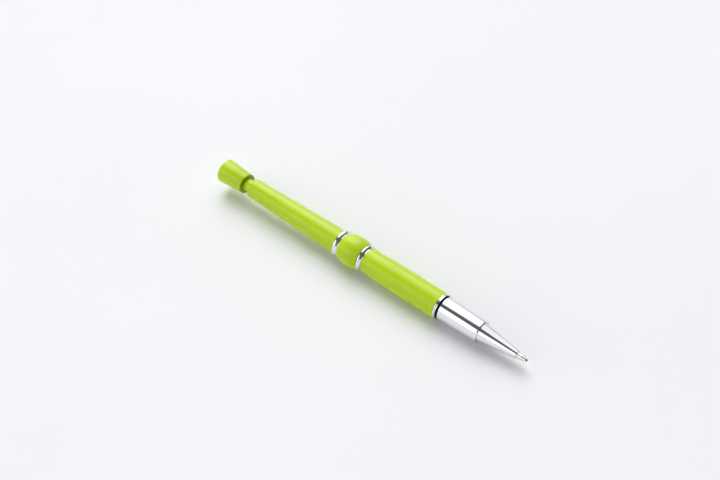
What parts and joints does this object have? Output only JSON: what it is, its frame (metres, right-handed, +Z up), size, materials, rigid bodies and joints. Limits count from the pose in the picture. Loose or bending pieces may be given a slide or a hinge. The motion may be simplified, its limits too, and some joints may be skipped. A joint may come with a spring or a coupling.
{
  "type": "gel pen",
  "caption": "Slim metal gel pen with a fixed tip, a flared knob on a narrow neck, a round bead between chrome rings at its waist, and a chrome front section that screws off.",
  "frame": {"origin": "below the middle of the pen's length, at the level of the lowest flat of the bulb", "axes": "+X along the pen towards the writing tip, +Z up with the pen lying down, +Y to its left seen from the knob"},
  "size_m": [0.16, 0.0134, 0.0134],
  "materials": {
    "lime_coat": "smooth satin lime-green lacquer on turned brass",
    "chrome": "bright mirror chrome plating",
    "brass": "bare turned brass, slightly dulled",
    "lacquered_brass": "turned brass under a thin olive-green lacquer",
    "spring_steel": "drawn wire",
    "nickel_silver": "fine turned nickel silver",
    "carbide": "polished tungsten carbide",
    "rubber": "matt black rubber",
    "white_plastic": "moulded plastic",
    "clear_plastic": "clear extruded polypropylene",
    "ink": "black gel ink",
    "grease": "pale follower grease"
  },
  "bodies": {
    "barrel": {"neck_stem": "lime_coat", "upper_barrel": "lime_coat", "spring_seat": "white_plastic", "refill_spring": "spring_steel", "upper_bush": "brass", "rear_ring": "chrome", "bulb": "lime_coat", "front_ring": "chrome", "coupling": "brass", "middle_bush": "brass", "lower_barrel": "lime_coat", "section_bush": "brass", "tip_ring": "chrome"},
    "collar": {"knob_collar": "lacquered_brass"},
    "knob": {"knob_cap": "lime_coat"},
    "seal": {"o_ring": "rubber"},
    "section": {"grip_section": "chrome", "nose_cone": "chrome"},
    "refill": {"refill_plug": "white_plastic", "refill_tube": "clear_plastic", "tip_holder": "white_plastic", "refill_tip": "nickel_silver", "ink": "ink", "ink_follower": "grease"},
    "ball": {"tip_ball": "carbide"}
  },
  "joints": [
    {"name": "section_travel", "type": "slide", "parent": "barrel", "child": "seal", "axis": [1, 0, 0], "range_m": [0, 0.00601]},
    {"name": "section_turn", "type": "hinge", "parent": "seal", "child": "section", "pos_m": [0.0415, 0, 0.0067], "axis": [1, 0, 0], "range_deg": [0, 2880]},
    {"name": "refill_press", "type": "slide", "parent": "section", "child": "refill", "axis": [-1, 0, 0], "range_m": [0, 0.0012], "stiffness_N_per_m": 350, "springref_m": -0.002, "deforming": ["refill_spring"]},
    {"name": "ball_roll", "type": "hinge", "parent": "refill", "child": "ball", "pos_m": [0.0795, 0, 0.0067], "axis": [0, 1, 0], "continuous": true},
    {"name": "knob_travel", "type": "slide", "parent": "barrel", "child": "collar", "axis": [-1, 0, 0], "range_m": [0, 0.00491]},
    {"name": "knob_turn", "type": "hinge", "parent": "collar", "child": "knob", "pos_m": [-0.06725, 0, 0.0067], "axis": [-1, 0, 0], "range_deg": [0, 2520]}
  ],
  "couplings": [
    {"joint": "section_travel", "follows": "section_turn", "m_per_rad": 0.00011937},
    {"joint": "knob_travel", "follows": "knob_turn", "m_per_rad": 0.00011141}
  ]
}
